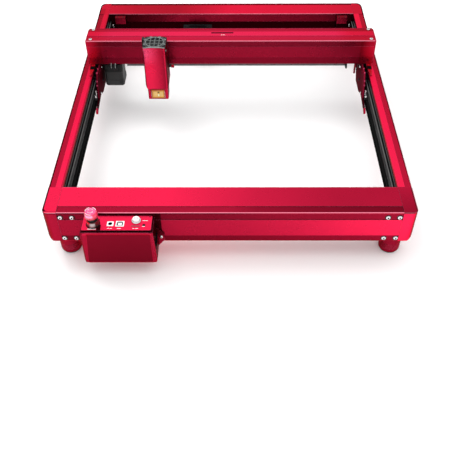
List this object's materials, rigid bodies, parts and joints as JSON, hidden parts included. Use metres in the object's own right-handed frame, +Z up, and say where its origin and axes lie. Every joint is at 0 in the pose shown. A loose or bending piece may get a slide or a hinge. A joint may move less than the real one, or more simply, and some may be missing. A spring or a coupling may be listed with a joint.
{
  "type": "laser engraver",
  "caption": "Desktop gantry laser engraver: rectangular red anodised frame on round feet, belt-driven gantry over side rails, sliding laser head with fan, control box with emergency stop.",
  "frame": {"origin": "on the floor under the feet, at the middle of the overall footprint (frame plus control box)", "axes": "+X to the operator's right, +Y from the operator's side (control box) to the back, +Z up"},
  "size_m": [0.574, 0.698, 0.177],
  "materials": {
    "red_anodised": "satin anodised",
    "red_dark_anodised": "satin anodised",
    "black_metal": "black anodised or painted",
    "black_plastic": "matte",
    "belt_rubber": "matte",
    "steel": "ground",
    "bare_aluminium": "bare",
    "red_gloss_plastic": "gloss",
    "white_plastic": "gloss",
    "amber_window": "polished, tinted",
    "brass": "turned",
    "board": "solder mask"
  },
  "bodies": {
    "frame": {"control_board": "board", "control_box_mount": "red_dark_anodised", "control_box_shell": "red_anodised", "control_panel": "red_anodised", "dc_jack": "black_plastic", "estop_collar": "steel", "front_beam": "red_anodised", "front_left_corner": "red_anodised", "front_left_foot": "red_dark_anodised", "front_right_corner": "red_anodised", "front_right_foot": "red_dark_anodised", "left_rail_carrier": "black_metal", "left_shaft_bearing": "red_dark_anodised", "left_side_beam": "red_anodised", "left_y_belt": "belt_rubber", "left_y_guide_rail": "black_metal", "power_button_bezel": "steel", "rear_beam": "red_anodised", "rear_left_corner": "red_anodised", "rear_left_foot": "red_dark_anodised", "rear_right_corner": "red_anodised", "rear_right_foot": "red_dark_anodised", "right_rail_carrier": "black_metal", "right_shaft_bearing": "red_dark_anodised", "right_side_beam": "red_anodised", "right_y_belt": "belt_rubber", "right_y_guide_rail": "black_metal", "usb_port": "steel", "y_motor": "black_metal"},
    "y_drive": {"sync_shaft": "steel", "left_y_pulley": "bare_aluminium", "right_y_pulley": "bare_aluminium"},
    "left_idler": {"left_y_idler": "bare_aluminium"},
    "right_idler": {"right_y_idler": "bare_aluminium"},
    "estop_plunger": {"estop_stem": "black_plastic"},
    "estop_head": {"estop_button": "red_gloss_plastic"},
    "power_key": {"power_button": "white_plastic"},
    "reset_key": {"reset_button": "black_plastic"},
    "gantry": {"gantry_cover": "red_anodised", "gantry_beam": "black_metal", "left_side_plate": "red_dark_anodised", "right_side_plate": "red_dark_anodised", "left_y_bearing_block": "black_metal", "right_y_bearing_block": "black_metal", "x_guide_rail": "steel", "x_belt": "belt_rubber", "x_motor": "black_metal"},
    "x_drive": {"x_drive_pulley": "bare_aluminium"},
    "x_idler": {"x_idler_pulley": "bare_aluminium"},
    "x_carriage": {"x_bearing_block": "steel", "laser_carriage_bracket": "red_dark_anodised", "laser_z_guide": "black_metal"},
    "focus_screw": {"focus_knob": "red_anodised"},
    "laser": {"laser_housing": "red_anodised", "laser_shield": "red_anodised", "laser_window": "amber_window", "laser_lens_barrel": "brass", "heat_sink": "bare_aluminium", "fan_frame": "black_plastic"},
    "fan": {"fan_rotor": "black_plastic"}
  },
  "joints": [
    {"name": "gantry_slide", "type": "slide", "parent": "frame", "child": "gantry", "axis": [0, 1, 0], "range_m": [-0.265, 0.13]},
    {"name": "y_shaft_spin", "type": "hinge", "parent": "frame", "child": "y_drive", "pos_m": [0, 0.282, 0.0545], "axis": [1, 0, 0], "range_deg": [-1171, 2386]},
    {"name": "left_y_idler_spin", "type": "hinge", "parent": "frame", "child": "left_idler", "pos_m": [-0.2636, -0.236, 0.0545], "axis": [1, 0, 0], "range_deg": [-1171, 2386]},
    {"name": "right_y_idler_spin", "type": "hinge", "parent": "frame", "child": "right_idler", "pos_m": [0.2636, -0.236, 0.0545], "axis": [1, 0, 0], "range_deg": [-1171, 2386]},
    {"name": "laser_x_slide", "type": "slide", "parent": "gantry", "child": "x_carriage", "axis": [1, 0, 0], "range_m": [-0.04, 0.335]},
    {"name": "x_drive_spin", "type": "hinge", "parent": "gantry", "child": "x_drive", "pos_m": [-0.2305, 0.117, 0.134], "axis": [0, 0, 1], "range_deg": [-361, 3016]},
    {"name": "x_idler_spin", "type": "hinge", "parent": "gantry", "child": "x_idler", "pos_m": [0.235, 0.117, 0.134], "axis": [0, 0, 1], "range_deg": [-361, 3016]},
    {"name": "laser_focus_slide", "type": "slide", "parent": "x_carriage", "child": "laser", "axis": [0, 0, 1], "range_m": [-0.03, 0.03]},
    {"name": "focus_knob_turn", "type": "hinge", "parent": "x_carriage", "child": "focus_screw", "pos_m": [-0.112, 0.0798, 0.1103], "axis": [1, 0, 0], "range_deg": [-180, 180]},
    {"name": "fan_spin", "type": "hinge", "parent": "laser", "child": "fan", "pos_m": [-0.138, 0.0513, 0.168], "axis": [0, 0, 1], "continuous": true},
    {"name": "estop_press", "type": "slide", "parent": "frame", "child": "estop_plunger", "axis": [0, 0, 1], "range_m": [-0.004, 0]},
    {"name": "estop_twist", "type": "hinge", "parent": "estop_plunger", "child": "estop_head", "pos_m": [-0.2049, -0.333, 0.117], "axis": [0, 0, 1], "range_deg": [0, 45]},
    {"name": "power_button_press", "type": "slide", "parent": "frame", "child": "power_key", "axis": [0, 0, 1], "range_m": [-0.0025, 0]},
    {"name": "reset_button_press", "type": "slide", "parent": "frame", "child": "reset_key", "axis": [0, 0, 1], "range_m": [-0.0012, 0]}
  ],
  "couplings": [
    {"joint": "y_shaft_spin", "follows": "gantry_slide", "rad_per_m": -157.08},
    {"joint": "left_y_idler_spin", "follows": "gantry_slide", "rad_per_m": -157.08},
    {"joint": "right_y_idler_spin", "follows": "gantry_slide", "rad_per_m": -157.08},
    {"joint": "x_drive_spin", "follows": "laser_x_slide", "rad_per_m": 157.08},
    {"joint": "x_idler_spin", "follows": "laser_x_slide", "rad_per_m": 157.08}
  ]
}
